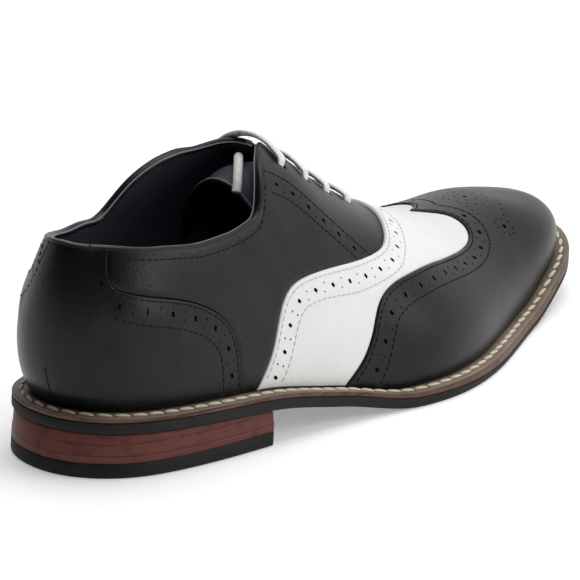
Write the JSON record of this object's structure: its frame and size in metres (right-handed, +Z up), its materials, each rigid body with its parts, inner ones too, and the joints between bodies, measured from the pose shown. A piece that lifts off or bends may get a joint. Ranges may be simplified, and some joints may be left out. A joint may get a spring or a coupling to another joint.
{
  "type": "spectator shoe",
  "caption": "Two-tone wingtip oxford, right shoe: hollow leather upper with pierced overlays and laced throat on a welted sole with a stacked heel.",
  "frame": {"origin": "centre of the shoe's footprint on the ground", "axes": "+X from heel to toe, +Y to the medial side, +Z up; the shoe is a right shoe, so -Y is its outer side"},
  "size_m": [0.3024, 0.108, 0.0983],
  "materials": {
    "black_leather": "smooth, waxed, low sheen",
    "white_leather": "smooth, satin",
    "lining": "matt, very dark navy",
    "rubber": "matt black",
    "heel_stack": "red-brown stacked grain, satin",
    "welt_edge": "dyed brown edge",
    "lace_cotton": "waxed cotton, off-white"
  },
  "bodies": {
    "root": {"heel_lift": "rubber", "heel_stack": "heel_stack", "outsole": "rubber", "welt": "welt_edge", "insole": "lining", "upper": "black_leather", "quarter_lateral": "black_leather", "quarter_medial": "black_leather", "counter": "black_leather", "vamp": "white_leather", "wingtip": "black_leather", "tongue": "black_leather", "lace_bar_1": "lace_cotton", "lace_bar_2": "lace_cotton", "lace_bar_3": "lace_cotton", "lace_bar_4": "lace_cotton", "lace_end": "lace_cotton"}
  },
  "joints": []
}
